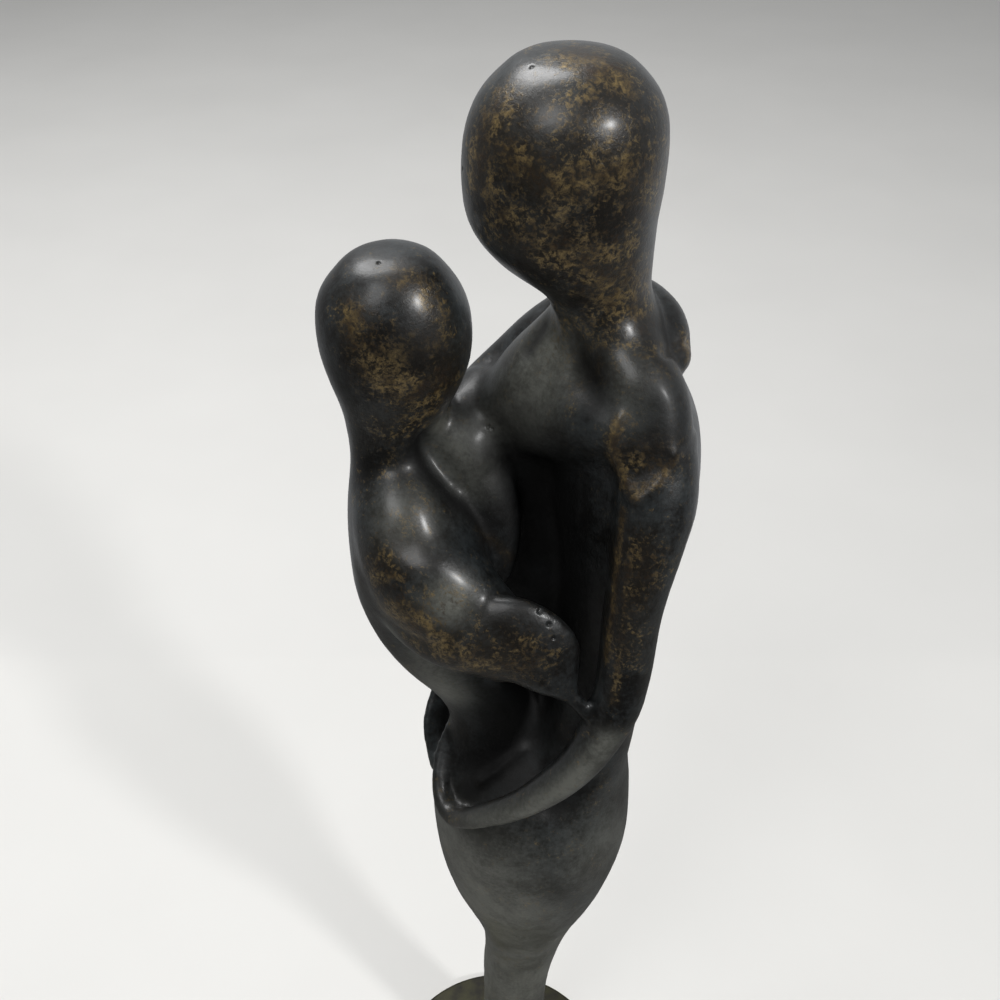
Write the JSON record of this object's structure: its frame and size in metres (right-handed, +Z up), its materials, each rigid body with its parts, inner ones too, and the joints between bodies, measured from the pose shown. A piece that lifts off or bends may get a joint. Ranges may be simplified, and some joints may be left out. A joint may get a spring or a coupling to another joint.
{
  "type": "embracing couple sculpture",
  "caption": "Slender cast bronze group of two faceless standing figures in an embrace, merging into a single tapering column of legs on a thin round base plate.",
  "frame": {"origin": "centre of the round base plate's underside", "axes": "+Z up; +X to the right across the group, from the shorter figure towards the taller one; +Y away from the near side that the picture shows"},
  "size_m": [0.1115, 0.1, 0.4821],
  "materials": {
    "patinated_bronze": "dark brown-black patina with golden brown mottling, waxed and softly glossy",
    "base_bronze": "dark olive-brown patina, satin, with a rubbed brighter edge"
  },
  "bodies": {
    "root": {"embracing_couple": "patinated_bronze", "base_plate": "base_bronze"}
  },
  "joints": []
}
